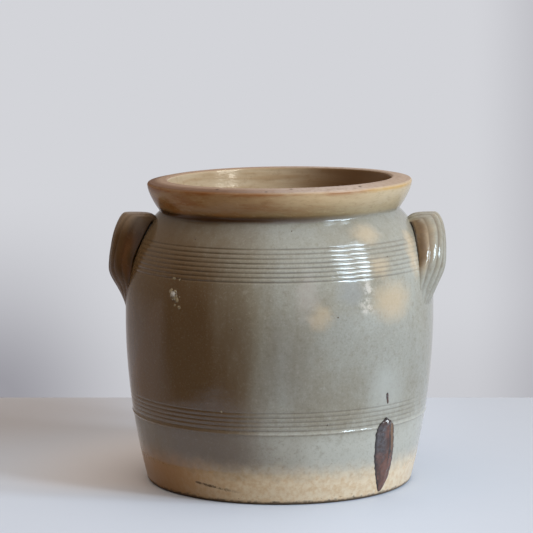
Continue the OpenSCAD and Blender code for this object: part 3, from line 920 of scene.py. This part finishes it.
def blister_mesh():
    """Low lumpy domes on the wall, each closed by a disc that is sunk in the glaze."""
    spots, faces, rings, spokes = [], [], 7, 18
    for number, (turn, height, size) in enumerate(BLISTERS):
        first = len(spots)
        for ring in range(rings + 1):
            share = ring / rings
            for spoke in range(spokes):
                swing = math.tau * spoke / spokes
                aside, up = math.cos(swing), math.sin(swing)
                reach = size * share * (1 + 0.35 * noise.noise(Vector((aside, up, number * 3.0))))
                aside, up = reach * aside, reach * up
                lump = noise.noise(Vector((aside * 700, up * 700, number * 5.0)))
                rise = size * BLISTER_RISE * math.sqrt(1 - share * share) * (1 + 0.7 * lump) - BLISTER_SUNK
                level = height + up
                angle = math.radians(turn) + aside / wall_radius(level)
                spots.append(leaned(angle, wall_radius(level) + rise, level))
        for ring in range(rings):
            for spoke in range(spokes):
                a, b = first + ring * spokes + spoke, first + ring * spokes + (spoke + 1) % spokes
                faces.append((a, b, b + spokes, a + spokes))
        faces.append(tuple(first + rings * spokes + spoke for spoke in range(spokes)))
    shape = bpy.data.meshes.new("salt_blisters")
    shape.from_pydata(spots, [], faces)
    face_out(shape, BLISTER_WELD)
    return shape


def blister_finish():
    """Salt glass with a painted white highlight at the heart of the largest bead, stained brown round it."""
    made = Finish("milky_salt_glass")
    mottle = made.noise(600.0, 3.0, 0.6)
    made.colour = made.mix(made.fade(mottle, 0.42, 0.62), srgb(164, 152, 126), srgb(90, 74, 52))
    # Painted highlight: a white spot at the heart of the largest bead.
    painted_glint_spot = made.near(on_wall(*BLISTERS[0][:2]), 0.0031, (mottle - 0.5) * 0.003)
    made.wash(painted_glint_spot * 0.95, srgb(228, 230, 234))
    return made.coat(mottle * 0.1 + 0.04, made.bump(mottle, 0.3, 0.0006), IOR=1.7)


blisters = stand("salt_blisters", blister_mesh())
blisters.data.materials.append(blister_finish())
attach(blisters, "root")


# Kiln specks. Iron in the clay that melted out through the glaze as small dark blisters.
# They sit in the skin of the wall, the shoulder and the collar.
SPECK_RADIUS = 0.00042
SMALLEST_SPECK, LARGEST_SPECK = 0.35, 1.5
SPECKS_PER_SQUARE_METRE = 260.0


def speck_tree():
    """Geometry Nodes that scatter flattened beads over the glazed outside of the jar."""
    tree, given = node_tree("scatter_kiln_specks", {
        "Jar": "Geometry", "Density": "Float", "Radius": "Float", "Seed": "Int",
        "Finish": "Material"}, "Specks")

    glazed = (stored(tree, "inside") + stored(tree, "bare") + stored(tree, "lip")).math("LESS_THAN", 0.05)
    points = lay(tree, "GeometryNodeDistributePointsOnFaces", {
        "Mesh": given["Jar"], "Selection": glazed, "Density": given["Density"], "Seed": given["Seed"]})
    bead = tap(tree, "GeometryNodeMeshIcoSphere", {"Radius": given["Radius"], "Subdivisions": 1})
    grow = tap(tree, "FunctionNodeRandomValue", {
        2: SMALLEST_SPECK, 3: LARGEST_SPECK, "Seed": given["Seed"]}, 1, data_type="FLOAT")
    flat = tap(tree, "ShaderNodeCombineXYZ", {"X": grow, "Y": grow, "Z": grow * 0.4})
    shape = tap(tree, "GeometryNodeInstanceOnPoints", {
        "Points": Wire(points.outputs["Points"]), "Instance": bead,
        "Rotation": Wire(points.outputs["Rotation"]), "Scale": flat})
    shape = tap(tree, "GeometryNodeRealizeInstances", {"Geometry": shape})
    shape = tap(tree, "GeometryNodeSetShadeSmooth", {0: shape})
    shape = tap(tree, "GeometryNodeSetMaterial", {"Geometry": shape, "Material": given["Finish"]})
    plug(shape, tree.nodes.new("NodeGroupOutput").inputs["Specks"])
    return tree


def speck_finish():
    """Brown-black iron glass."""
    made = Finish("iron_speck_glass")
    made.colour = made.mix(made.fade(made.noise(300.0), 0.4, 0.6), srgb(48, 36, 28), srgb(92, 66, 44))
    return made.coat(made.noise(500.0) * 0.2 + 0.15, made.bump(made.noise(900.0), 0.2, 0.0003), IOR=1.55)


specks = grown("kiln_specks", body.data.copy(), speck_tree(), {
    "Density": SPECKS_PER_SQUARE_METRE, "Radius": SPECK_RADIUS, "Seed": 11, "Finish": speck_finish()})
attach(specks, "root")


# Table. A plain pale board under the pot that ends a little way behind it, in front of a pale wall.
# It has matt bluish-white paint, and the pot stands free on it.
TABLE_BACK = 0.316
TABLE_REACH = 3.0
VIEW_TURN = math.radians(5.0)


def seen_or_felt(tree, seen, felt):
    """A shader that the camera, the glaze and glass see, and another one that lights the pot."""
    ray = lay(tree, "ShaderNodeLightPath")
    sight = Wire(ray.outputs["Is Camera Ray"]) + Wire(ray.outputs["Is Glossy Ray"])
    sight = sight + Wire(ray.outputs["Is Transmission Ray"])
    return tap(tree, "ShaderNodeMixShader", {0: sight.math("MINIMUM", 1.0), 1: felt, 2: seen})


def table_finish():
    """Matt bluish-white paint that throws only a little light back up at the pot.

    Its far left and front, which are out of view, are dull where the glaze mirrors them. Painted shade
    darkens it a little towards the right and in a band at the back left, and a painted warm bounce lightens
    it beside the pot's left foot.
    """
    made = Finish("pale_table_paint")
    # Painted shade: the paint is a little darker towards the right.
    made.colour = made.mix(made.fade(made.x, 0.05, 0.22), srgb(195, 205, 222), srgb(184, 192, 206))
    # Painted shadow: a darker band at the back left, where the pot's shadow falls.
    painted_shadow_band = made.fade(made.x, 0.0, -0.25) * made.fade(made.x, -0.7, -0.3)
    made.wash(painted_shadow_band * made.fade(made.y, -0.02, 0.24) * 0.8, srgb(158, 153, 154))
    reach = (made.x * made.x + made.y * made.y).math("SQRT")
    # Painted bounce light: warmer and lighter beside the pot's left foot.
    warm = made.fade(reach, 0.24, 0.11) * made.fade(made.x, -0.02, -0.10) * made.fade(made.y, -0.10, -0.03)
    made.wash(warm * 0.7, srgb(218, 211, 210))
    left_end = made.fade(made.x + made.y * 0.2, -0.215, -0.32)
    front_end = made.fade(made.x, 0.08, -0.12) * made.fade(made.y, -0.20, -0.36)
    dull = made.mix(made.fade(made.y, -0.17, 0.01), srgb(92, 86, 82), srgb(174, 166, 170))
    glossy = tap(made.tree, "ShaderNodeLightPath", output="Is Glossy Ray")
    made.wash(left_end.math("MAXIMUM", front_end) * glossy, dull)
    made.coat(made.noise(40.0) * 0.1 + 0.6, made.bump(made.noise(300.0), 0.02, 0.0005))
    bounce = tap(made.tree, "ShaderNodeBsdfDiffuse", {"Color": srgb(172, 164, 152)})
    paint = seen_or_felt(made.tree, Wire(made.shader.outputs[0]), bounce)
    plug(paint, made.tree.nodes["Material Output"].inputs["Surface"])
    return made.material


board = bpy.data.meshes.new("table")
turned = Matrix.Rotation(VIEW_TURN, 3, "Z")
corners = [(-TABLE_REACH, -TABLE_REACH, 0.0), (TABLE_REACH, -TABLE_REACH, 0.0),
           (TABLE_REACH, TABLE_BACK, 0.0), (-TABLE_REACH, TABLE_BACK, 0.0)]
board.from_pydata([turned @ Vector(corner) for corner in corners], [], [(0, 1, 2, 3)])
board.materials.append(table_finish())
table = stand("table", board)


# Light. Daylight from a tall window of two leaves, to the right of the camera and above it.
# The rest of the room is dim and brightest overhead. As the glaze mirrors its walls, they darken to the left.
WINDOW_TURN = 61.5
WINDOW_RISE = 30.4
WINDOW_AWAY = 1.6
LEAF_WIDTH, LEAF_HEIGHT, MULLION = 0.24, 0.82, 0.15
LEAF_POWER = (12.8, 11.4)
DAYLIGHT = (0.85, 0.94, 1.0)
LAMPLIGHT = (1.0, 0.87, 0.74, 1.0)

aim = Vector((0.0, 0.0, 0.13))
angle = math.radians(WINDOW_TURN) + VIEW_TURN
rise = math.radians(WINDOW_RISE)
toward = Vector((math.sin(angle) * math.cos(rise), -math.cos(angle) * math.cos(rise), math.sin(rise)))
beside = Vector((math.cos(angle), math.sin(angle), 0.0))
for leaf, (hand, power) in enumerate(zip((-1, 1), LEAF_POWER)):
    lamp = bpy.data.lights.new(f"window_leaf_{leaf}", "AREA")
    lamp.shape = "RECTANGLE"
    lamp.size, lamp.size_y = LEAF_WIDTH, LEAF_HEIGHT
    lamp.energy = power
    lamp.color = DAYLIGHT
    lit = stand(lamp.name, lamp)
    lit.location = aim + toward * WINDOW_AWAY + beside * hand * (LEAF_WIDTH + MULLION) / 2
    lit.rotation_euler = (-toward).to_track_quat("-Z", "Y").to_euler()

room = bpy.data.worlds.new("room")
room.use_nodes = True
bpy.context.scene.world = room
air = room.node_tree
way = lay(air, "ShaderNodeSeparateXYZ", {"Vector": tap(air, "ShaderNodeTexCoord", output="Generated")})
aside, onward, upward = (Wire(way.outputs[axis]) for axis in "XYZ")
overhead = upward.math("MAXIMUM", 0.0).math("POWER", 6.0)
dim = tap(air, "ShaderNodeBackground", {"Color": LAMPLIGHT, "Strength": overhead * 3.0 + 0.08})
to_left = faded(air, aside, 0.1, -0.5)
far_left = mixed(air, faded(air, upward, -0.04, -0.24), srgb(132, 122, 114), srgb(170, 162, 162))
mirrored = mixed(air, to_left, srgb(205, 206, 210), far_left)
mirrored = mixed(air, to_left * faded(air, onward, 0.16, -0.18), mirrored, srgb(104, 95, 90))
# Painted shadow on the backdrop that the camera sees: darker low down on the left, where the pot's shadow
# falls, and somewhat darker to the right and near the horizon.
shade = faded(air, aside, -0.13, -0.20) * faded(air, upward, -0.10, -0.19) * 0.88
shade = shade + faded(air, aside, -0.005, 0.04) * 0.5 + faded(air, upward, -0.14, -0.19) * 0.2
shown = mixed(air, shade * faded(air, onward, 0.85, 0.95), srgb(211, 212, 217), srgb(155, 154, 161))
in_view = tap(air, "ShaderNodeLightPath", output="Is Camera Ray")
wall = tap(air, "ShaderNodeBackground", {"Color": mixed(air, in_view, mirrored, shown), "Strength": 1.0})
plug(seen_or_felt(air, wall, dim), air.nodes["World Output"].inputs["Surface"])


# Camera. It stands 1.8 m in front of the pot, five degrees round to the right and a little above the rim.
# A long lens looks slightly down at the middle of the pot.
VIEW_AWAY, VIEW_ASIDE, VIEW_HEIGHT = 1.8, -0.0098, 0.4025
VIEW_PITCH = math.radians(7.65)
LENS_LENGTH, SENSOR_WIDTH = 162.4, 36.0

lens = bpy.data.cameras.new("camera")
lens.sensor_width = SENSOR_WIDTH
lens.lens = LENS_LENGTH
eye = stand("camera", lens)
eye.location = turned @ Vector((VIEW_ASIDE, -VIEW_AWAY, VIEW_HEIGHT))
eye.rotation_euler = (math.pi / 2 - VIEW_PITCH, 0.0, VIEW_TURN)
bpy.context.scene.camera = eye
bpy.context.scene.view_settings.view_transform = "Standard"

bpy.context.view_layer.update()
